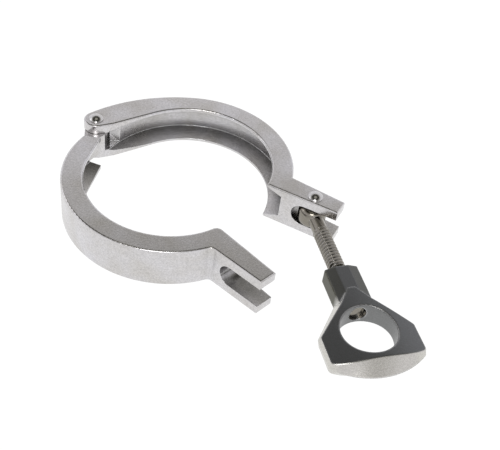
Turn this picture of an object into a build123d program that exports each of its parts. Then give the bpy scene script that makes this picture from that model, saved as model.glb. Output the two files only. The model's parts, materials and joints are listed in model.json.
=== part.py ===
from build123d import *
import os
from math import acos, asin, atan2, cos, degrees, hypot, radians, sin, tan

# Sanitary hinged clamp for 64 mm ferrules, shown open as it lies on a bench.
# Millimetres, +Z up. The origin is the ring centre of the half that carries the bolt, at mid height.
# That half lies at +Y, the slotted half at -Y, the hinge at -X and the swing bolt at +X.

# Ring section
lip_radius = 29.75
groove_depth = 5.9
groove_wall = 1.95
ring_height = 15.8
lip_land = 1.2
flank_angle = 20.0
closing_gap = 6.0
edge_round = 0.6
inner_corner_round = 2.6

# Closing ears
ear_overhang = 10.1
ear_end_width = 6.8
ear_taper = 4.7
ear_root_round = 2.0
ear_slot_height = 8.4
ear_slot_run_in = 7.0

# Pins
pin_radius = 2.0
head_radius = 2.7
head_height = 1.5
head_rim = 0.35
bolt_pin_offset = 9.5
bolt_pin_setback = 3.5
hinge_pin_offset = 3.8
press_clearance = 0.02
running_clearance = 0.05
pin_recess = 0.15

# Hinge
boss_radius = 4.6
swell_radius = 60.0
relief_angle = 148.0
clevis_front = 1.4
tongue_height = 8.1
tongue_side_clearance = 0.1
tongue_radius = 4.2
tongue_swing_clearance = 1.1
tongue_length = 10.6
tongue_heading = -46.8
web_angle = 34.0
web_setback = 1.85

# Swing bolt
bolt_radius = 3.0
bolt_length = 47.2
bolt_tip_chamfer = 0.6
eye_radius = 5.2
eye_thickness = 7.6
eye_rim_round = 2.4

# Wing nut
thread_clearance = 0.05
nut_seat = 30.1
boss_length = 14.8
boss_half_width = 5.9
boss_half_height = 4.1
boss_flat_half_width = 2.4
boss_side_half_height = 2.8
boss_edge_round = 0.5
wing_half_height = 4.2
wing_half_span = 16.4
wing_tip_half_height = 2.1
wing_root = (9.0, 5.2)
wing_neck = (12.9, 5.8)
wing_top_root = (10.0, 1.2)
wing_top_neck = (15.8, 5.3)
wing_shoulder = 26.4
wing_top_shoulder = 27.9
wing_tip_end = 38.0
wing_draft = 0.6
wing_top_end = 39.0
wing_bulge_end = 44.0
wing_corner_round = 1.6
wing_edge_round = 0.4
finger_hole_radius = 9.4
finger_hole_centre = 27.6

# Rest pose
open_angle = 18.7
bolt_angle = -48.0

# Worked out from the sizes above
groove_radius = lip_radius + groove_depth
outer_radius = groove_radius + groove_wall
half_height = ring_height / 2
half_gap = closing_gap / 2
hinge = (-(outer_radius + hinge_pin_offset), 0.0)
bolt_pivot = (outer_radius + bolt_pin_offset, half_gap + bolt_pin_setback)
ear_end = bolt_pivot[0] + ear_overhang
slot_radius = ear_slot_height / 2
slot_start = bolt_pivot[0] - ear_slot_run_in
tongue_slot = tongue_height + 2 * tongue_side_clearance
cut_through = 4 * outer_radius


def polar(radius, angle, centre=(0.0, 0.0)):
    """The point at a distance and an angle in degrees from a centre."""
    return (centre[0] + radius * cos(radians(angle)), centre[1] + radius * sin(radians(angle)))


def angle_of(point, centre=(0.0, 0.0)):
    """The direction of a point from a centre, in degrees."""
    return degrees(atan2(point[1] - centre[1], point[0] - centre[0]))


def reach_circle(point, heading, radius, entering):
    """Where a line from a point meets a circle about the origin, on its way in or out."""
    across = point[0] * cos(radians(heading)) + point[1] * sin(radians(heading))
    root = (across ** 2 - point[0] ** 2 - point[1] ** 2 + radius ** 2) ** 0.5
    return polar(-across - root if entering else -across + root, heading, point)


def crossing(point, heading, other, other_heading):
    """Where two lines of the plan cross."""
    turn = sin(radians(other_heading - heading))
    gap_x, gap_y = other[0] - point[0], other[1] - point[1]
    side = gap_x * sin(radians(other_heading)) - gap_y * cos(radians(other_heading))
    return polar(side / turn, heading, point)


def touch(point, centre, radius, side):
    """Where a line from a point touches a circle; side is +1 or -1 for one touch or the other."""
    reach = hypot(point[0] - centre[0], point[1] - centre[1])
    return polar(radius, angle_of(point, centre) + side * degrees(acos(radius / reach)), centre)


def arc(centre, radius, start, end):
    """An arc from one angle to the other, the way that the angles run."""
    points = [polar(radius, angle, centre) for angle in (start, (start + end) / 2, end)]
    return ThreePointArc(*points)


def plate(edges, height):
    """A flat solid with this outline, centred on the mid plane."""
    face = Face(Wire(edges))
    return Pos(0, 0, -height / 2) * extrude(face, amount=height, dir=(0, 0, 1))


def round_rims(body, radius):
    """Round the edges of the top and the bottom face."""
    levels = body.edges().group_by(Axis.Z)
    return fillet(levels[0] + levels[-1], radius)


def round_upright(body, point, radius):
    """Round the upright edge that stands at a point of the plan."""
    upright = body.edges().filter_by(Axis.Z).sort_by_distance(Vector(*point, 0))[0]
    return fillet(upright, radius)


def hole(centre, radius):
    """An upright hole through the whole height."""
    return Pos(*centre, 0) * Cylinder(radius, 2 * ring_height)


def ear_corners(side):
    """Lip corner, inner and outer corner of the ear end, and ear root; side is +1 or -1."""
    lip = ((lip_radius ** 2 - half_gap ** 2) ** 0.5, side * half_gap)
    end_in = (ear_end, side * half_gap)
    end_out = (ear_end, side * (half_gap + ear_end_width))
    root = reach_circle(end_out, 180 - side * ear_taper, outer_radius, True)
    return lip, end_in, end_out, root


def groove():
    """The V-groove that draws the two ferrules together, as the solid to cut away."""
    slope = tan(radians(flank_angle))
    inside = lip_radius / 2
    root = half_height - lip_land - (groove_radius - lip_radius) * slope
    mouth = root + (groove_radius - inside) * slope
    corners = [(inside, 0, -mouth), (groove_radius, 0, -root), (groove_radius, 0, root), (inside, 0, mouth)]
    return revolve(Face(Wire(Polyline(*corners, close=True).edges())), Axis.Z)


def ear_slot():
    """The slot from the ear end inwards, through both faces, with a half-round inner end."""
    middle = slot_start + slot_radius
    run = ear_end + edge_round - middle
    straight = Pos(middle + run / 2, 0, 0) * Box(run, cut_through, ear_slot_height)
    return straight + Pos(middle, 0, 0) * Rot(90, 0, 0) * Cylinder(slot_radius, cut_through)


def swell_centre():
    """Centre of the large arc that touches the ring and the hinge boss from outside."""
    to_ring = swell_radius - outer_radius
    to_boss = swell_radius - boss_radius
    cosine = (to_boss ** 2 - to_ring ** 2 - hinge[0] ** 2) / (2 * to_ring * abs(hinge[0]))
    return polar(to_ring, -degrees(acos(cosine)))


def bolt_half_outline():
    """Plan of the half with the forked ear and the hinge clevis."""
    lip, end_in, end_out, root = ear_corners(1)
    swell = swell_centre()
    on_ring = angle_of((0.0, 0.0), swell)
    on_boss = angle_of(hinge, swell)
    relief = polar(lip_radius, relief_angle)
    front = crossing(relief, relief_angle + 90, (hinge[0], clevis_front), 0)
    boss_front = touch(front, hinge, boss_radius, -1)
    return [
        Line(lip, end_in),
        Line(end_in, end_out),
        Line(end_out, root),
        arc((0.0, 0.0), outer_radius, angle_of(root), on_ring),
        arc(swell, swell_radius, on_ring, on_boss),
        arc(hinge, boss_radius, on_boss, angle_of(boss_front, hinge) + 360),
        Line(boss_front, front),
        Line(front, relief),
        arc((0.0, 0.0), lip_radius, relief_angle, angle_of(lip)),
    ]


def tongue_recess():
    """The space between the clevis ears, back to the web."""
    foot = polar(-web_setback, web_angle - 90, hinge)
    left = polar(-outer_radius, web_angle, foot)
    right = polar(lip_radius / 2, web_angle, foot)
    corners = [left, right] + [polar(outer_radius, web_angle - 90, point) for point in (right, left)]
    outline = Polyline(*corners, close=True)
    sweep = tongue_radius + tongue_swing_clearance
    return plate(outline.edges(), tongue_slot) + Pos(*hinge, 0) * Cylinder(sweep, tongue_slot)


def make_bolt_half():
    """The ring half that carries both pins."""
    body = round_rims(plate(bolt_half_outline(), ring_height), edge_round)
    body = body - groove() - ear_slot() - tongue_recess()
    return body - hole(hinge, pin_radius + press_clearance) - hole(bolt_pivot, pin_radius + press_clearance)


def section_end():
    """Inner and outer corner where the slotted half stops short of the hinge."""
    foot = polar(tongue_length, tongue_heading, hinge)
    outer = reach_circle(foot, tongue_heading - 90, outer_radius, False)
    inner = crossing(foot, tongue_heading + 90, polar(lip_radius, -relief_angle), -relief_angle - 90)
    return inner, outer


def slotted_half_outline():
    """Plan of the half with the slotted ear, up to its end short of the hinge."""
    lip, end_in, end_out, root = ear_corners(-1)
    inner, outer = section_end()
    relief = polar(lip_radius, -relief_angle)
    return [
        Line(lip, end_in),
        Line(end_in, end_out),
        Line(end_out, root),
        arc((0.0, 0.0), outer_radius, angle_of(root), angle_of(outer)),
        Line(outer, inner),
        Line(inner, relief),
        arc((0.0, 0.0), lip_radius, -relief_angle, angle_of(lip)),
    ]


def tongue():
    """The hinge tongue, from inside the ring section to the round boss at the pin."""
    inner, outer = section_end()
    inner_touch = touch(inner, hinge, tongue_radius, 1)
    outer_touch = touch(outer, hinge, tongue_radius, -1)
    root_in, root_out = [polar(tongue_radius, tongue_heading, point) for point in (inner, outer)]
    outline = [
        Line(inner, inner_touch),
        arc(hinge, tongue_radius, angle_of(inner_touch, hinge), angle_of(outer_touch, hinge) + 360),
        Line(outer_touch, outer),
        Line(outer, root_out),
        Line(root_out, root_in),
        Line(root_in, inner),
    ]
    return plate(outline, tongue_height)


def make_slotted_half():
    """The ring half that the bolt drops into, modelled closed and turned open about the hinge."""
    body = plate(slotted_half_outline(), ring_height)
    lip, _, _, root = ear_corners(-1)
    body = round_upright(body, lip, inner_corner_round)
    body = round_upright(body, root, ear_root_round)
    body = round_rims(body, edge_round)
    body = body + tongue() - groove() - ear_slot()
    body = body - hole(hinge, pin_radius + running_clearance)
    return Pos(*hinge, 0) * Rot(0, 0, -open_angle) * Pos(-hinge[0], -hinge[1], 0) * body


def make_pin(centre):
    """A rivet with a low domed head, its foot just inside the lower face."""
    seat = half_height
    rim = seat + head_rim
    crown = seat + head_height
    foot = pin_recess - half_height
    rise = head_height - head_rim
    dome = (head_radius ** 2 + rise ** 2) / (2 * rise)
    lean = degrees(asin(head_radius / dome)) / 2
    middle = polar(dome, 90 - lean, (0.0, crown - dome))
    profile = [
        Line((0, 0, foot), (pin_radius, 0, foot)),
        Line((pin_radius, 0, foot), (pin_radius, 0, seat)),
        Line((pin_radius, 0, seat), (head_radius, 0, seat)),
        Line((head_radius, 0, seat), (head_radius, 0, rim)),
        ThreePointArc((head_radius, 0, rim), (middle[0], 0, middle[1]), (0, 0, crown)),
        Line((0, 0, crown), (0, 0, foot)),
    ]
    return Pos(*centre, 0) * revolve(Face(Wire(profile)), Axis.Z)


def along_bolt(distance=0.0):
    """The place on the bolt axis at a distance from its pin, with +X along the bolt."""
    return Pos(*bolt_pivot, 0) * Rot(0, 0, bolt_angle) * Pos(distance, 0, 0)


def make_swing_bolt():
    """The eye, the neck and the shank, in one piece."""
    eye = Cylinder(eye_radius, eye_thickness)
    eye = fillet(eye.edges().filter_by(GeomType.CIRCLE), eye_rim_round)
    shank = Rot(0, 90, 0) * Cylinder(bolt_radius, bolt_length, align=(Align.CENTER, Align.CENTER, Align.MIN))
    shank = chamfer(shank.edges().filter_by(GeomType.CIRCLE).sort_by(Axis.X)[-1], bolt_tip_chamfer)
    return along_bolt() * (eye + shank - hole((0.0, 0.0), pin_radius + running_clearance))


def wing_plan(root, neck, shoulder, span, tip_end, end):
    """Plan of the wing at one level, its four outer corners rounded."""
    right = [root, neck, (shoulder, span), (tip_end, span)]
    path = [(x, -y) for x, y in reversed(right)] + right
    outline = [Line(start, stop) for start, stop in zip(path, path[1:])]
    outline.append(ThreePointArc(path[-1], (end, 0.0), path[0]))
    plan = Face(Wire(outline))
    return fillet(plan.vertices().sort_by(Axis.X)[4:], wing_corner_round)


def wing_section():
    """The lens-shaped cross-section of the wing, as a bar along the bolt axis."""
    side = wing_half_span + wing_corner_round
    fall = (wing_half_height - wing_tip_half_height) * (side / wing_half_span) ** 2
    edge = wing_half_height - fall
    outline = [
        ThreePointArc((0, side, edge), (0, 0, wing_half_height), (0, -side, edge)),
        Line((0, -side, edge), (0, -side, -edge)),
        ThreePointArc((0, -side, -edge), (0, 0, -wing_half_height), (0, side, -edge)),
        Line((0, side, -edge), (0, side, edge)),
    ]
    return extrude(Face(Wire(outline)), amount=2 * wing_bulge_end, dir=(1, 0, 0))


def wing():
    """The wing with its finger hole: widest at the mid plane, drawn in towards both faces."""
    middle = wing_plan(wing_root, wing_neck, wing_shoulder, wing_half_span, wing_tip_end, wing_bulge_end)
    top = wing_plan(
        wing_top_root, wing_top_neck, wing_top_shoulder, wing_half_span - wing_draft,
        wing_tip_end - wing_draft, wing_top_end,
    )
    upper = loft([middle, Pos(0, 0, wing_half_height) * top], ruled=True)
    solid = (upper + mirror(upper, Plane.XY)) & wing_section()
    finger = Pos(finger_hole_centre, 0, 0) * Cylinder(finger_hole_radius, 4 * wing_half_height)
    solid = solid - finger
    rims = solid.edges().filter_by(lambda edge: abs(edge.center().Z) > wing_tip_half_height)
    return fillet(rims, wing_edge_round)


def boss():
    """The eight-sided boss that the bolt screws into."""
    corners = [
        (boss_half_width, boss_side_half_height), (boss_flat_half_width, boss_half_height),
        (-boss_flat_half_width, boss_half_height), (-boss_half_width, boss_side_half_height),
    ]
    corners += [(y, -z) for y, z in reversed(corners)]
    section = Face(Wire.make_polygon([(0, y, z) for y, z in corners]))
    return fillet(extrude(section, amount=boss_length, dir=(1, 0, 0)).edges(), boss_edge_round)


def wing_nut_body():
    """The nut along +X from its seat, with the tapped bore breaking into the finger hole."""
    bore = Rot(0, 90, 0) * Cylinder(bolt_radius + thread_clearance, 2 * finger_hole_centre)
    return boss() + wing() - bore


def make_wing_nut():
    """The wing nut in its place on the bolt."""
    return along_bolt(nut_seat) * wing_nut_body()


PARTS = {
    "bolt_half": make_bolt_half,
    "slotted_half": make_slotted_half,
    "hinge_pin": lambda: make_pin(hinge),
    "bolt_pin": lambda: make_pin(bolt_pivot),
    "swing_bolt": make_swing_bolt,
    "wing_nut": make_wing_nut,
}

os.makedirs("parts", exist_ok=True)
for name, make in PARTS.items():
    export_step(make(), os.path.join("parts", name + ".step"))
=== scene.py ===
"""Sanitary hinged clamp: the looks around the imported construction.

The ring halves, the rivets and the wing nut keep their solids and get cast, worn and polished steel.
The swing bolt is modelled again with its screw thread.
"""

import json
from math import cos, pi, radians, sin

import bpy
from mathutils import Matrix, Quaternion, Vector


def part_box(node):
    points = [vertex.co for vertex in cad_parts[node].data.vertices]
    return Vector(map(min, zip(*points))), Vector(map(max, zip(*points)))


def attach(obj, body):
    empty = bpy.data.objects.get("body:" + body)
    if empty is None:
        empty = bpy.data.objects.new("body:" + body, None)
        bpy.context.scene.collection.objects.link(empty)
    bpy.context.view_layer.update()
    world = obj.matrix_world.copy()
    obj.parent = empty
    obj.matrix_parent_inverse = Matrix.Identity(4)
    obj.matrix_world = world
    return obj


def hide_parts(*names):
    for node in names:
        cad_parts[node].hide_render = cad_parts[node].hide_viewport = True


bl_info = {
    "name": "Sanitary Hinged Clamp",
    "version": (1, 0, 0),
    "blender": (4, 5, 0),
    "location": "3D View > Sidebar > Clamp",
    "description": "Dresses a hinged pipe clamp in cast and polished stainless steel",
    "category": "Object",
}

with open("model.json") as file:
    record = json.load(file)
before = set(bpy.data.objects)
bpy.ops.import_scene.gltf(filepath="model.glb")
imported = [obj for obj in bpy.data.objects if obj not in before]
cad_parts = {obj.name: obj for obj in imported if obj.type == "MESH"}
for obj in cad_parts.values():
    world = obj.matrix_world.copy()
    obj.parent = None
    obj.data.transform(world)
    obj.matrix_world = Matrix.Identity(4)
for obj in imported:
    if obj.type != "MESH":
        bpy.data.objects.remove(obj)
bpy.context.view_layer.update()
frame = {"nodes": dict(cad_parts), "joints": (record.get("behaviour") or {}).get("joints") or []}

MM = 0.001
WELD = 0.001 * MM
SAME_LEVEL = 1e-6
BOLT_PIVOT = Vector(next(j["pos_m"] for j in frame["joints"] if j["name"] == "bolt_swing"))
BOLT_AXIS = Vector(next(j["axis"] for j in frame["joints"] if j["name"] == "nut_travel")).normalized()

# Detail and roughness of each noise
PIT_NOISE = (3.0, 0.65)
WAVE_NOISE = (3.0, 0.5)
SMUDGE_NOISE = (4.0, 0.6)
SCRATCH_NOISE = (1.0, 0.4)

# Noise values between which each mark fades in
PIT_RANGE = (0.35, 0.65)
PATCH_RANGE = (0.30, 0.70)
SMUDGE_RANGE = (0.35, 0.7)
SCRATCH_RANGE = (0.62, 0.72)

# Weight of the soft waves against the pits, in the height of the casting
WAVE_WEIGHT = 2.0
# How far the noise is squeezed across and turned to draw scratches
SCRATCH_STRETCH = (1.0, 0.06, 1.0)
SCRATCH_TURN = (0, 0, 0.5)
# Cosine between the rounded and the flat normal, where the edge wear and its painted highlight start and where
# they are full
EDGE_TURN = (0.995, 0.90)
# Share of open surroundings, where recess shade starts and where it is full
RECESS_OPENNESS = (0.86, 0.42)
# Rays that look for an edge and for open surroundings
EDGE_SAMPLES = 6
RECESS_SAMPLES = 8
# Breakup of a mask: noise range, then the range that the mask is multiplied by
EDGE_BREAKUP = (0.3, 0.6, 0.55, 1.0)
RECESS_BREAKUP = (0.3, 0.7, 0.75, 1.0)

# Painted dark reflection on the nut, by how far a face turns upwards
BROAD_FACE_TURN = (0.84, 0.92)
BOSS_SIDE_TURN = (0.97, 0.90)
# The length over which the painted dark reflection on the boss fades into the wing
BOSS_FADE = 2 * MM
# The distance outside the finger hole where the painted dark reflection on its wall starts and where it is
# full
HOLE_DARK_REFLECTION = (0.3 * MM, 0.1 * MM)
HOLE_DARK_REFLECTION_SHARE = 0.9
DARK_REFLECTION_ROUGHNESS = 0.38

# How strongly the pits and the worn edges with their painted highlight colour a finish, and how much smoother
# a worn edge is
SPECKLE_SHARE = 0.22
EDGE_HIGHLIGHT_SHARE = 0.6
EDGE_SMOOTHER = 0.06

# Sockets of the Mix node for colours
MIX_AMOUNT, MIX_FIRST, MIX_SECOND, MIX_RESULT = 0, 6, 7, 2

# The thread profile, as shares of the pitch: each slope and each flat comes twice
THREAD_SLOPE = 0.42
THREAD_FLAT = 0.08
THREAD_STEPS = 28
# Whole profiles screwed past the end of the shank before it is cut off, and turns cut off at its start
SPARE_TURNS = 2
CUT_TURNS = 1.5
# How far the neck runs into the thread, and the part of the thread's depth by which it is thinner
NECK_TURNS = 2
NECK_DEPTH_PARTS = 3
EYE_SEGMENTS = 5

# Studio
FLOOR_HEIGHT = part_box("bolt_half")[0][2]
FLOOR_SIZE = 6.0
FLOOR_TONES = ((0.92, 0.92, 0.92), (0.94, 0.94, 0.94))
FLOOR_TONE_SCALE = 40.0
FLOOR_ROUGHNESS = 0.9
FLOOR_GLOW_SHARE = 0.96
FLOOR_GLOW_STRENGTH = 1.06
PANEL_RISE = (radians(72), radians(80))
WALL_TINT = (0.98, 0.97, 1.0)
CEILING_TINT = (1.0, 0.97, 0.84)
KEY_PLACE, KEY_SIZE = (0.2, -0.5, 0.6), 0.3
FILL_PLACE, FILL_SIZE = (-0.5, -0.15, 0.3), 0.25
SENSOR_WIDTH = 36.0
NEAREST_SEEN = 0.01


# Properties


def length(name, description, millimetres):
    """A length property, given in millimetres and kept in metres."""
    return bpy.props.FloatProperty(
        name=name, description=description, default=millimetres * MM, precision=5, unit="LENGTH",
    )


def colour(name, description, default):
    """A colour property."""
    return bpy.props.FloatVectorProperty(
        name=name, description=description, default=default, size=3, min=0, max=1, subtype="COLOR",
    )


def strength(name, description, default):
    """A brightness or a power, never below zero."""
    return bpy.props.FloatProperty(name=name, description=description, default=default, min=0)


def angle(name, description, degrees):
    """An angle property, given in degrees."""
    return bpy.props.FloatProperty(
        name=name, description=description, default=radians(degrees), subtype="ANGLE",
    )


class ClampSizes(bpy.types.PropertyGroup):
    """Sizes of the modelled bolt, and the places on the nut where its painted dark reflection goes."""

    thread_pitch: length("Thread pitch", "Distance from one thread crest to the next", 1.4)
    thread_depth: length("Thread depth", "Height of the thread from root to crest", 0.68)
    thread_start: length("Thread start", "Length of the smooth neck, from the pin centre", 8.6)
    shank_radius: length("Shank radius", "Outer radius of the thread", 3.0)
    shank_length: length("Shank length", "From the pin centre to the end of the thread", 47.2)
    eye_radius: length("Eye radius", "Outer radius of the bolt eye", 5.2)
    eye_thickness: length("Eye thickness", "Thickness of the bolt eye along the pin", 7.6)
    eye_round: length("Eye rounding", "Rounding of the rims of the eye", 2.4)
    boss_end: length("Boss end", "From the pin centre to where the boss of the nut runs into the wing", 43.5)
    hole_distance: length("Finger hole place", "From the pin centre to the centre of the finger hole", 57.7)
    hole_radius: length("Finger hole radius", "Radius of the finger hole", 9.4)
    pin_hole_radius: length("Pin hole radius", "Radius of the hole for the bolt pin", 2.05)


class ClampFinish(bpy.types.PropertyGroup):
    """Colours of the steel finishes."""

    cast_colour: colour("Cast steel", "Colour of the tumbled ring halves", (0.72, 0.71, 0.735))
    cast_shade: colour("Cast steel, dull", "Colour of the ring's duller patches", (0.62, 0.60, 0.58))
    pin_colour: colour("Rivet steel", "Colour of the rivet heads", (0.66, 0.66, 0.67))
    bolt_colour: colour("Bolt steel", "Colour of the swing bolt", (0.27, 0.25, 0.215))
    nut_colour: colour("Nut steel", "Colour of the bright end and rims of the wing nut", (0.64, 0.625, 0.585))
    # Painted dark reflection: the nut's upward faces and boss sides are coloured dark, as if the dark overhead
    # shows in them
    nut_dark_reflection_colour: colour("Nut faces", "Colour of the nut's dark polished faces", (0.175, 0.18, 0.185))
    boss_side_dark_reflection_colour: colour("Boss sides", "Colour of the boss's side facets", (0.085, 0.083, 0.06))
    # Colour of the casting's pits, and of the painted shade in grooves, slots and thread roots
    pit_and_recess_shade_colour: colour("Recesses", "Colour of grooves, slots and thread roots", (0.06, 0.062, 0.06))
    # Worn edges, lightened further as a painted highlight along every sharp edge
    worn_edge_highlight_colour: colour("Bright edge", "Colour of the edges that handling has polished", (0.85, 0.85, 0.86))


class ClampStage(bpy.types.PropertyGroup):
    """Camera and light."""

    lens: bpy.props.FloatProperty(
        name="Lens", description="Focal length in millimetres", default=64.8, min=10,
    )
    target: bpy.props.FloatVectorProperty(
        name="Aim", description="Point that the camera looks at",
        default=(0.0279, -0.0039, -0.0079), size=3, precision=4, subtype="TRANSLATION",
    )
    distance: bpy.props.FloatProperty(
        name="Distance", description="From the camera to its aim", default=0.3296, precision=4, unit="LENGTH",
    )
    azimuth: angle("Azimuth", "Turn of the camera about the tube axis", 21.17)
    elevation: angle("Elevation", "Height angle of the camera", 43.71)
    roll: angle("Roll", "Turn of the camera about its own axis", 8.4)
    wall_level: strength("Wall level", "Brightness of the studio walls", 0.95)
    ceiling_level: strength("Ceiling level", "Brightness of the studio overhead", 0.05)
    overhead_level: strength("Overhead panel", "Brightness of the soft panel straight above", 0.4)
    wall_top: angle("Wall top", "Height angle where the walls begin to darken", 36)
    ceiling_edge: angle("Ceiling edge", "Height angle where the ceiling is fully dark", 56)
    key_power: strength("Key light", "Power of the large soft light in watts", 1.6)
    fill_power: strength("Fill light", "Power of the smaller soft light at the side in watts", 0.12)


# Node helpers


def add_node(tree, kind, settings=None, **inputs):
    """Add a node, set its own settings, and fill its sockets from values or other sockets.

    A socket goes by its name, with _ for a space, or by i and its number.
    """
    node = tree.nodes.new(kind)
    for name, value in (settings or {}).items():
        setattr(node, name, value)
    for name, value in inputs.items():
        numbered = name[0] == "i" and name[1:].isdigit()
        socket = node.inputs[int(name[1:]) if numbered else name.replace("_", " ")]
        if isinstance(value, bpy.types.NodeSocket):
            tree.links.new(value, socket)
        else:
            socket.default_value = value
    return node


def new_group(name, inputs, outputs):
    """A shader node group with named sockets; each socket is (name, kind, default)."""
    tree = bpy.data.node_groups.new(name, "ShaderNodeTree")
    for label, kind, default in inputs:
        socket = tree.interface.new_socket(label, in_out="INPUT", socket_type=kind)
        socket.default_value = default
    for label, kind in outputs:
        tree.interface.new_socket(label, in_out="OUTPUT", socket_type=kind)
    return tree, tree.nodes.new("NodeGroupInput"), tree.nodes.new("NodeGroupOutput")


def object_coordinates(tree):
    """The piece's own coordinates."""
    return add_node(tree, "ShaderNodeTexCoord").outputs["Object"]


def noise(tree, coordinates, scale, detail=2.0, roughness=0.5):
    """A noise value between 0 and 1; scale is a socket or a number per metre."""
    node = add_node(
        tree, "ShaderNodeTexNoise", Vector=coordinates, Scale=scale, Detail=detail, Roughness=roughness,
    )
    return node.outputs["Fac"]


def remap(tree, value, low, high, to_low=0.0, to_high=1.0):
    """Stretch a value from one range to another, clamped."""
    node = add_node(tree, "ShaderNodeMapRange", i0=value, i1=low, i2=high, i3=to_low, i4=to_high)
    return node.outputs[0]


def maths(tree, operation, first, second=0.0):
    """One Math node."""
    return add_node(tree, "ShaderNodeMath", {"operation": operation}, i0=first, i1=second).outputs[0]


def vector_maths(tree, operation, first, second):
    """One Vector Math node; a dot product or a distance comes out as a value."""
    node = add_node(tree, "ShaderNodeVectorMath", {"operation": operation}, i0=first, i1=second)
    return node.outputs["Value" if operation in ("DOT_PRODUCT", "DISTANCE") else "Vector"]


def make_grain_group():
    """Fine pits and soft waves of a tumbled casting."""
    tree, given, result = new_group(
        "Cast grain",
        [("Grain scale", "NodeSocketFloat", 3000.0), ("Wave scale", "NodeSocketFloat", 90.0)],
        [("Height", "NodeSocketFloat"), ("Patches", "NodeSocketFloat"), ("Speckle", "NodeSocketFloat")],
    )
    place = object_coordinates(tree)
    grain = noise(tree, place, given.outputs["Grain scale"], *PIT_NOISE)
    wave = noise(tree, place, given.outputs["Wave scale"], *WAVE_NOISE)
    pits = remap(tree, grain, *PIT_RANGE)
    height = maths(tree, "MULTIPLY_ADD", wave, WAVE_WEIGHT)
    tree.links.new(pits, height.node.inputs[2])
    tree.links.new(height, result.inputs["Height"])
    tree.links.new(remap(tree, wave, *PATCH_RANGE), result.inputs["Patches"])
    tree.links.new(pits, result.inputs["Speckle"])
    return tree


def make_edge_wear_and_highlight_group():
    """How sharply the surface turns, broken up by noise: worn edges that also carry a painted highlight."""
    tree, given, result = new_group(
        "Edge wear and highlight",
        [("Width", "NodeSocketFloat", 0.4 * MM), ("Breakup scale", "NodeSocketFloat", 600.0)],
        [("Mask", "NodeSocketFloat"), ("Normal", "NodeSocketVector")],
    )
    bevel = add_node(tree, "ShaderNodeBevel", {"samples": EDGE_SAMPLES}, Radius=given.outputs["Width"])
    rounded = bevel.outputs[0]
    flat = add_node(tree, "ShaderNodeNewGeometry").outputs["Normal"]
    turn = vector_maths(tree, "DOT_PRODUCT", rounded, flat)
    sharp = remap(tree, turn, *EDGE_TURN)
    broken = noise(tree, object_coordinates(tree), given.outputs["Breakup scale"])
    broken = remap(tree, broken, *EDGE_BREAKUP)
    tree.links.new(maths(tree, "MULTIPLY", sharp, broken), result.inputs["Mask"])
    tree.links.new(rounded, result.inputs["Normal"])
    return tree


def make_handling_group():
    """Smudges and hairline scratches that change the gloss."""
    tree, given, result = new_group(
        "Handling marks",
        [("Smudge scale", "NodeSocketFloat", 45.0), ("Scratch scale", "NodeSocketFloat", 900.0)],
        [("Smudge", "NodeSocketFloat"), ("Scratch", "NodeSocketFloat")],
    )
    place = object_coordinates(tree)
    smudge = remap(tree, noise(tree, place, given.outputs["Smudge scale"], *SMUDGE_NOISE), *SMUDGE_RANGE)
    stretched = add_node(
        tree, "ShaderNodeMapping", Vector=place, Scale=SCRATCH_STRETCH, Rotation=SCRATCH_TURN,
    )
    lines = noise(tree, stretched.outputs[0], given.outputs["Scratch scale"], *SCRATCH_NOISE)
    tree.links.new(smudge, result.inputs["Smudge"])
    tree.links.new(remap(tree, lines, *SCRATCH_RANGE), result.inputs["Scratch"])
    return tree


def effect(tree, name, **inputs):
    """Place one of the shared effects in a material."""
    label, make = EFFECTS[name]
    group = bpy.data.node_groups.get(label) or make()
    node = tree.nodes.new("ShaderNodeGroup")
    node.node_tree = group
    for key, value in inputs.items():
        node.inputs[key.replace("_", " ")].default_value = value
    return node.outputs


def mix_colour(tree, amount, first, second):
    """Blend two colours by an amount."""
    node = add_node(tree, "ShaderNodeMix", {"data_type": "RGBA"})
    for index, value in ((MIX_AMOUNT, amount), (MIX_FIRST, first), (MIX_SECOND, second)):
        if isinstance(value, bpy.types.NodeSocket):
            tree.links.new(value, node.inputs[index])
        else:
            node.inputs[index].default_value = value if index == MIX_AMOUNT else (*value, 1.0)
    return node.outputs[MIX_RESULT]


def make_recess_group():
    """Painted shade that darkens grooves, slots and thread roots, where little of the surroundings is open."""
    tree, given, result = new_group(
        "Recess shade",
        [("Reach", "NodeSocketFloat", 5 * MM), ("Breakup scale", "NodeSocketFloat", 400.0)],
        [("Mask", "NodeSocketFloat")],
    )
    open_share = add_node(
        tree, "ShaderNodeAmbientOcclusion", {"samples": RECESS_SAMPLES, "only_local": True},
        Distance=given.outputs["Reach"],
    )
    shade = remap(tree, open_share.outputs["AO"], *RECESS_OPENNESS)
    broken = noise(tree, object_coordinates(tree), given.outputs["Breakup scale"])
    broken = remap(tree, broken, *RECESS_BREAKUP)
    tree.links.new(maths(tree, "MULTIPLY", shade, broken), result.inputs["Mask"])
    return tree


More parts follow.
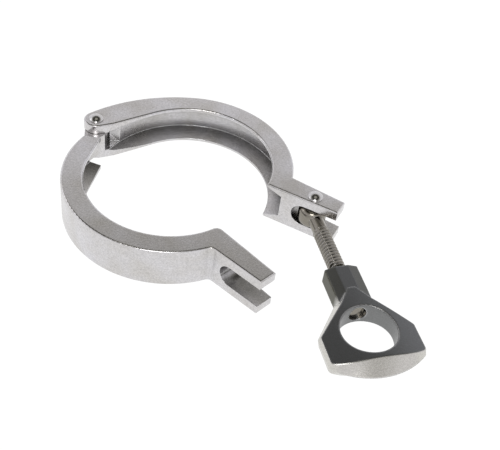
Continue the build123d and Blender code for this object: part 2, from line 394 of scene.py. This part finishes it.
def make_dark_reflection_group():
    """Painted dark reflection on the nut: its broad faces, its boss and the wall of its hole, picked by how
    they turn.
    """
    tree, given, result = new_group(
        "Painted dark reflection",
        [
            ("Pivot", "NodeSocketVector", (0, 0, 0)), ("Axis", "NodeSocketVector", (1, 0, 0)),
            ("Boss end", "NodeSocketFloat", 0.0), ("Hole centre", "NodeSocketVector", (0, 0, 0)),
            ("Hole radius", "NodeSocketFloat", 0.0),
        ],
        [("Mask", "NodeSocketFloat"), ("Boss side", "NodeSocketFloat")],
    )
    facing = add_node(tree, "ShaderNodeSeparateXYZ", i0=add_node(tree, "ShaderNodeTexCoord").outputs["Normal"])
    upright = maths(tree, "ABSOLUTE", facing.outputs[2])
    broad = remap(tree, upright, *BROAD_FACE_TURN)
    place = object_coordinates(tree)
    from_pivot = vector_maths(tree, "SUBTRACT", place, given.outputs["Pivot"])
    along = vector_maths(tree, "DOT_PRODUCT", from_pivot, given.outputs["Axis"])
    past = maths(tree, "SUBTRACT", along, given.outputs["Boss end"])
    boss = remap(tree, past, BOSS_FADE, -BOSS_FADE)
    level = vector_maths(tree, "MULTIPLY", place, (1, 1, 0))
    away = vector_maths(tree, "DISTANCE", level, given.outputs["Hole centre"])
    outside = maths(tree, "SUBTRACT", away, given.outputs["Hole radius"])
    bored = maths(tree, "MULTIPLY", remap(tree, outside, *HOLE_DARK_REFLECTION), HOLE_DARK_REFLECTION_SHARE)
    mask = maths(tree, "MAXIMUM", broad, boss)
    tree.links.new(maths(tree, "MAXIMUM", mask, bored), result.inputs["Mask"])
    side = maths(tree, "MULTIPLY", boss, remap(tree, upright, *BOSS_SIDE_TURN))
    tree.links.new(side, result.inputs["Boss side"])
    return tree


EFFECTS = {
    "grain": ("Cast grain", make_grain_group),
    "edge": ("Edge wear and highlight", make_edge_wear_and_highlight_group),
    "handling": ("Handling marks", make_handling_group),
    "recess": ("Recess shade", make_recess_group),
    "dark_reflection": ("Painted dark reflection", make_dark_reflection_group),
}


def steel(name, colours, gloss, grain_depth, grain_scale, edge_width, recess_reach, recess_share, dark_reflection=None):
    """A stainless steel finish.

    colours are those of the clean steel, its dull patches, its worn edges with their painted highlight, and
    its pits with the painted recess shade;
    gloss is the roughness of its clean and of its smudged places;
    grain_scale is per metre, and recess_share is how dark the painted recess shade gets;
    the last argument holds the sockets, the two colours and the roughness of the painted dark reflection on
    the nut's faces.
    """
    clean, dull, bright, pit_and_shade_tone = colours
    material = bpy.data.materials.new(name)
    material.use_nodes = True
    tree = material.node_tree
    tree.nodes.clear()
    grain = effect(tree, "grain", Grain_scale=grain_scale)
    edge = effect(tree, "edge", Width=edge_width)
    marks = effect(tree, "handling")
    recess = effect(tree, "recess", Reach=recess_reach)
    body = mix_colour(tree, grain["Patches"], clean, dull)
    rough = remap(tree, marks["Smudge"], 0.0, 1.0, gloss[0], gloss[1])
    # Painted dark reflection on the nut's upward faces, boss sides and hole wall
    if dark_reflection:
        dark_reflection_cover = effect(tree, "dark_reflection", **dark_reflection["place"])
        tone = mix_colour(tree, dark_reflection_cover["Boss side"], dark_reflection["colour"], dark_reflection["side_colour"])
        body = mix_colour(tree, dark_reflection_cover["Mask"], body, tone)
        rough = remap(tree, dark_reflection_cover["Mask"], 0.0, 1.0, rough, dark_reflection["roughness"])
    body = mix_colour(tree, maths(tree, "MULTIPLY", grain["Speckle"], SPECKLE_SHARE), body, pit_and_shade_tone)
    # Painted shade in recesses, from how closed in the surroundings are
    body = mix_colour(tree, maths(tree, "MULTIPLY", recess["Mask"], recess_share), body, pit_and_shade_tone)
    # Worn edges lightened with a painted highlight
    body = mix_colour(tree, maths(tree, "MULTIPLY", edge["Mask"], EDGE_HIGHLIGHT_SHARE), body, bright)
    rough = maths(tree, "SUBTRACT", rough, maths(tree, "MULTIPLY", edge["Mask"], EDGE_SMOOTHER))
    bump = add_node(
        tree, "ShaderNodeBump", Strength=1.0, Distance=grain_depth,
        Height=grain["Height"], Normal=edge["Normal"],
    )
    shader = add_node(tree, "ShaderNodeBsdfPrincipled", Metallic=1.0, Base_Color=body, Roughness=rough)
    tree.links.new(bump.outputs[0], shader.inputs["Normal"])
    output = tree.nodes.new("ShaderNodeOutputMaterial")
    tree.links.new(shader.outputs[0], output.inputs["Surface"])
    return material


def dress(piece, material):
    """Give a piece one material all over."""
    piece.data.materials.clear()
    piece.data.materials.append(material)


# Modelling helpers


def deselect():
    """Leave edit mode and select nothing."""
    if bpy.context.object and bpy.context.object.mode != "OBJECT":
        bpy.ops.object.mode_set(mode="OBJECT")
    bpy.ops.object.select_all(action="DESELECT")


def activate(piece):
    """Select one object and make it the active one."""
    deselect()
    piece.select_set(True)
    bpy.context.view_layer.objects.active = piece


def add_cylinder(radius, depth, location=(0, 0, 0), rotation=(0, 0, 0), sides=64):
    """A cylinder at its place."""
    deselect()
    bpy.ops.mesh.primitive_cylinder_add(
        vertices=sides, radius=radius, depth=depth, location=location, rotation=rotation,
    )
    bpy.ops.object.transform_apply(location=True, rotation=True, scale=True)
    return bpy.context.object


def select_edges(piece, wanted):
    """In edit mode, select the edges whose two ends pass the test."""
    activate(piece)
    bpy.ops.object.mode_set(mode="EDIT")
    bpy.ops.mesh.select_mode(type="EDGE")
    bpy.ops.mesh.select_all(action="DESELECT")
    bpy.ops.object.mode_set(mode="OBJECT")
    points = piece.data.vertices
    for edge in piece.data.edges:
        edge.select = wanted(points[edge.vertices[0]].co, points[edge.vertices[1]].co)
    bpy.ops.object.mode_set(mode="EDIT")


def combine(piece, other, operation):
    """Boolean with another mesh, which is used up."""
    activate(piece)
    modifier = piece.modifiers.new("combine", "BOOLEAN")
    modifier.operation = operation
    modifier.object = other
    modifier.solver = "EXACT"
    bpy.ops.object.modifier_apply(modifier=modifier.name)
    bpy.data.objects.remove(other)


def place_along_bolt(piece):
    """Turn a piece modelled along +X about the origin to the bolt's place, and apply it."""
    activate(piece)
    turn = Vector((1, 0, 0)).rotation_difference(BOLT_AXIS).to_matrix().to_4x4()
    piece.matrix_world = Matrix.Translation(BOLT_PIVOT) @ turn
    bpy.ops.object.transform_apply(location=True, rotation=True, scale=True)


def smooth(piece, sharpest):
    """Smooth shading, with the edges that turn by more degrees than this kept sharp."""
    activate(piece)
    bpy.ops.object.shade_smooth_by_angle(angle=radians(sharpest))


# Swing bolt


def make_eye(sizes):
    """The eye of the bolt, with rounded rims."""
    eye = add_cylinder(sizes.eye_radius, sizes.eye_thickness)
    half = sizes.eye_thickness / 2
    select_edges(eye, lambda a, b: abs(abs(a.z) - half) < SAME_LEVEL and abs(a.z - b.z) < SAME_LEVEL)
    bpy.ops.mesh.bevel(offset=sizes.eye_round, segments=EYE_SEGMENTS, affect="EDGES")
    bpy.ops.object.mode_set(mode="OBJECT")
    return eye


def make_neck(sizes):
    """The smooth neck, which runs on into the first turns of the thread as their core."""
    end = sizes.thread_start + NECK_TURNS * sizes.thread_pitch
    radius = sizes.shank_radius - sizes.thread_depth / NECK_DEPTH_PARTS
    return add_cylinder(radius, end, (end / 2, 0, 0), (0, pi / 2, 0))


def make_thread(sizes):
    """The thread: its profile, screwed along the shank and cut off square at both ends."""
    deselect()
    crest = sizes.shank_radius
    root = crest - sizes.thread_depth
    pitch = sizes.thread_pitch
    start = sizes.thread_start - pitch
    bpy.ops.mesh.primitive_plane_add(size=pitch, location=(0, 0, 0))
    thread = bpy.context.object
    bpy.ops.object.mode_set(mode="EDIT")
    bpy.ops.mesh.select_mode(type="VERT")
    bpy.ops.mesh.select_all(action="SELECT")
    bpy.ops.mesh.merge(type="CENTER")
    bpy.ops.transform.translate(value=(root, 0, start))
    slope = THREAD_SLOPE * pitch
    flat = THREAD_FLAT * pitch
    for step in ((0, 0, flat), (crest - root, 0, slope), (0, 0, flat), (root - crest, 0, slope)):
        bpy.ops.mesh.extrude_region_move(TRANSFORM_OT_translate={"value": step})
    bpy.ops.object.mode_set(mode="OBJECT")
    screw = thread.modifiers.new("screw", "SCREW")
    screw.axis = "Z"
    screw.angle = 2 * pi
    screw.screw_offset = pitch
    screw.iterations = int((sizes.shank_length - start) / pitch) + SPARE_TURNS
    screw.steps = screw.render_steps = THREAD_STEPS
    screw.use_merge_vertices = True
    screw.merge_threshold = WELD
    activate(thread)
    bpy.ops.object.modifier_apply(modifier="screw")
    bpy.ops.object.mode_set(mode="EDIT")
    bpy.ops.mesh.select_all(action="SELECT")
    bpy.ops.mesh.remove_doubles(threshold=WELD)
    for level, outer in ((start + CUT_TURNS * pitch, False), (sizes.shank_length, True)):
        bpy.ops.mesh.select_all(action="SELECT")
        bpy.ops.mesh.bisect(
            plane_co=(0, 0, level), plane_no=(0, 0, 1), use_fill=True, threshold=WELD / 10,
            clear_inner=not outer, clear_outer=outer,
        )
    bpy.ops.mesh.select_all(action="SELECT")
    bpy.ops.mesh.normals_make_consistent(inside=False)
    bpy.ops.object.mode_set(mode="OBJECT")
    thread.rotation_euler = (0, pi / 2, 0)
    bpy.ops.object.transform_apply(location=True, rotation=True, scale=True)
    return thread


# Operators


class CLAMP_OT_cast_halves(bpy.types.Operator):
    """Finish both ring halves as tumbled castings"""

    bl_idname = "clamp.cast_halves"
    bl_label = "Ring halves"

    def execute(self, context):
        finish = context.scene.clamp_finish
        cast = steel(
            "cast_steel", (finish.cast_colour, finish.cast_shade, finish.worn_edge_highlight_colour, finish.pit_and_recess_shade_colour),
            gloss=(0.20, 0.30), grain_depth=0.005 * MM, grain_scale=1500.0, edge_width=0.35 * MM,
            recess_reach=12 * MM, recess_share=0.9,
        )
        for node in ("bolt_half", "slotted_half"):
            dress(frame["nodes"][node], cast)
        return {"FINISHED"}


class CLAMP_OT_rivets(bpy.types.Operator):
    """Finish the hinge pin and the bolt pin"""

    bl_idname = "clamp.rivets"
    bl_label = "Rivets"

    def execute(self, context):
        finish = context.scene.clamp_finish
        bright = steel(
            "pin_steel", (finish.pin_colour, finish.cast_shade, finish.worn_edge_highlight_colour, finish.pit_and_recess_shade_colour),
            gloss=(0.10, 0.18), grain_depth=0.006 * MM, grain_scale=3500.0, edge_width=0.2 * MM,
            recess_reach=1 * MM, recess_share=0.8,
        )
        for node in ("hinge_pin", "bolt_pin"):
            dress(frame["nodes"][node], bright)
        return {"FINISHED"}


class CLAMP_OT_swing_bolt(bpy.types.Operator):
    """Model the swing bolt with its eye, neck and thread"""

    bl_idname = "clamp.swing_bolt"
    bl_label = "Swing bolt"

    def execute(self, context):
        sizes = context.scene.clamp_sizes
        finish = context.scene.clamp_finish
        bolt = make_eye(sizes)
        combine(bolt, make_neck(sizes), "UNION")
        combine(bolt, make_thread(sizes), "UNION")
        combine(bolt, add_cylinder(sizes.pin_hole_radius, 2 * sizes.eye_thickness), "DIFFERENCE")
        bolt.name = bolt.data.name = "threaded_swing_bolt"
        place_along_bolt(bolt)
        smooth(bolt, 35.0)
        threaded = steel(
            "bolt_steel", (finish.bolt_colour, finish.bolt_colour, finish.worn_edge_highlight_colour, finish.pit_and_recess_shade_colour),
            gloss=(0.14, 0.22), grain_depth=0.004 * MM, grain_scale=3500.0, edge_width=0.2 * MM,
            recess_reach=3 * MM, recess_share=1.0,
        )
        dress(bolt, threaded)
        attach(bolt, "bolt")
        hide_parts("swing_bolt")
        return {"FINISHED"}


class CLAMP_OT_wing_nut(bpy.types.Operator):
    """Finish the polished wing nut"""

    bl_idname = "clamp.wing_nut"
    bl_label = "Wing nut"

    def execute(self, context):
        sizes = context.scene.clamp_sizes
        finish = context.scene.clamp_finish
        polished = steel(
            "nut_steel", (finish.nut_colour, finish.nut_colour, finish.worn_edge_highlight_colour, finish.pit_and_recess_shade_colour),
            gloss=(0.22, 0.30), grain_depth=0.008 * MM, grain_scale=2200.0, edge_width=0.7 * MM,
            recess_reach=2 * MM, recess_share=0.5,
            # Where the painted dark reflection goes on the nut, with its colours
            dark_reflection={
                "place": {
                    "Pivot": BOLT_PIVOT, "Axis": BOLT_AXIS, "Boss_end": sizes.boss_end,
                    "Hole_centre": (*(BOLT_PIVOT + sizes.hole_distance * BOLT_AXIS)[:2], 0.0),
                    "Hole_radius": sizes.hole_radius,
                },
                "colour": finish.nut_dark_reflection_colour, "side_colour": finish.boss_side_dark_reflection_colour,
                "roughness": DARK_REFLECTION_ROUGHNESS,
            },
        )
        dress(frame["nodes"]["wing_nut"], polished)
        return {"FINISHED"}


# Studio


def make_floor():
    """A plain floor that reads white to the camera and in the steel, and keeps its shadow."""
    deselect()
    bpy.ops.mesh.primitive_plane_add(size=FLOOR_SIZE, location=(0, 0, FLOOR_HEIGHT))
    floor = bpy.context.object
    bpy.ops.object.transform_apply(location=True, rotation=True, scale=True)
    floor.name = floor.data.name = "studio_floor"
    material = bpy.data.materials.new("pale_floor")
    material.use_nodes = True
    tree = material.node_tree
    tree.nodes.clear()
    speckle = noise(tree, object_coordinates(tree), FLOOR_TONE_SCALE)
    tone = mix_colour(tree, speckle, *FLOOR_TONES)
    matte = add_node(tree, "ShaderNodeBsdfPrincipled", Base_Color=tone, Roughness=FLOOR_ROUGHNESS)
    glow = add_node(tree, "ShaderNodeEmission", Color=(1, 1, 1, 1), Strength=FLOOR_GLOW_STRENGTH)
    path = tree.nodes.new("ShaderNodeLightPath")
    seen = maths(tree, "MAXIMUM", path.outputs["Is Camera Ray"], path.outputs["Is Glossy Ray"])
    seen = maths(tree, "MAXIMUM", seen, path.outputs["Is Transmission Ray"])
    share = maths(tree, "MULTIPLY", seen, FLOOR_GLOW_SHARE)
    blend = add_node(tree, "ShaderNodeMixShader", i0=share, i1=matte.outputs[0], i2=glow.outputs[0])
    output = tree.nodes.new("ShaderNodeOutputMaterial")
    tree.links.new(blend.outputs[0], output.inputs["Surface"])
    dress(floor, material)


def make_world(stage):
    """A studio with white walls that darken towards the ceiling, and a soft panel straight above."""
    world = bpy.data.worlds.new("studio")
    bpy.context.scene.world = world
    world.use_nodes = True
    tree = world.node_tree
    tree.nodes.clear()
    way = add_node(tree, "ShaderNodeTexCoord").outputs["Generated"]
    up = add_node(tree, "ShaderNodeSeparateXYZ", i0=way).outputs[2]
    walls = (sin(stage.wall_top), sin(stage.ceiling_edge))
    level = remap(tree, up, *walls, stage.wall_level, stage.ceiling_level)
    panel = remap(tree, up, *(sin(rise) for rise in PANEL_RISE), 0.0, stage.overhead_level)
    level = maths(tree, "ADD", level, panel)
    tint = mix_colour(tree, remap(tree, up, *walls), WALL_TINT, CEILING_TINT)
    background = add_node(tree, "ShaderNodeBackground", Color=tint, Strength=level)
    output = tree.nodes.new("ShaderNodeOutputWorld")
    tree.links.new(background.outputs[0], output.inputs["Surface"])


def add_soft_light(name, location, size, power):
    """A square area light aimed at the ring."""
    deselect()
    bpy.ops.object.light_add(type="AREA", location=location)
    lamp = bpy.context.object
    lamp.name = name
    lamp.data.size = size
    lamp.data.energy = power
    lamp.rotation_euler = (-Vector(location)).to_track_quat("-Z", "Y").to_euler()


def make_camera(stage):
    """The camera, from its aim, distance, angles and roll."""
    flat = cos(stage.elevation)
    aim = Vector(stage.target)
    away = Vector((flat * sin(stage.azimuth), -flat * cos(stage.azimuth), sin(stage.elevation)))
    deselect()
    bpy.ops.object.camera_add(location=aim + stage.distance * away)
    camera = bpy.context.object
    turn = (-away).to_track_quat("-Z", "Y") @ Quaternion((0, 0, 1), stage.roll)
    camera.rotation_euler = turn.to_euler()
    camera.data.lens = stage.lens
    camera.data.sensor_width = SENSOR_WIDTH
    camera.data.clip_start = NEAREST_SEEN
    bpy.context.scene.camera = camera


class CLAMP_OT_stage(bpy.types.Operator):
    """Lay the floor, light the studio and set the camera"""

    bl_idname = "clamp.stage"
    bl_label = "Studio"

    def execute(self, context):
        stage = context.scene.clamp_stage
        make_floor()
        make_world(stage)
        add_soft_light("key_light", KEY_PLACE, KEY_SIZE, stage.key_power)
        add_soft_light("fill_light", FILL_PLACE, FILL_SIZE, stage.fill_power)
        make_camera(stage)
        context.scene.view_settings.view_transform = "Standard"
        return {"FINISHED"}


# Panel and registration


class CLAMP_PT_panel(bpy.types.Panel):
    """Lists the steps that dress the clamp"""

    bl_idname = "CLAMP_PT_panel"
    bl_label = "Hinged clamp"
    bl_space_type = "VIEW_3D"
    bl_region_type = "UI"
    bl_category = "Clamp"

    def draw(self, context):
        for group in (context.scene.clamp_sizes, context.scene.clamp_finish, context.scene.clamp_stage):
            box = self.layout.box()
            for name in group.__annotations__:
                box.prop(group, name)
        for step in STEPS:
            self.layout.operator(step.bl_idname)


STEPS = (CLAMP_OT_cast_halves, CLAMP_OT_rivets, CLAMP_OT_swing_bolt, CLAMP_OT_wing_nut, CLAMP_OT_stage)
GROUPS = {"clamp_sizes": ClampSizes, "clamp_finish": ClampFinish, "clamp_stage": ClampStage}


def register():
    """Register the classes and hang the properties on the scene."""
    for kind in (*GROUPS.values(), *STEPS, CLAMP_PT_panel):
        bpy.utils.register_class(kind)
    for name, kind in GROUPS.items():
        setattr(bpy.types.Scene, name, bpy.props.PointerProperty(type=kind))


def unregister():
    """Undo register."""
    for name in GROUPS:
        delattr(bpy.types.Scene, name)
    for kind in reversed((*GROUPS.values(), *STEPS, CLAMP_PT_panel)):
        bpy.utils.unregister_class(kind)


def main():
    """Run every step in order."""
    register()
    for step in STEPS:
        category, name = step.bl_idname.split(".")
        getattr(getattr(bpy.ops, category), name)()
    deselect()


if __name__ == "__main__":
    main()
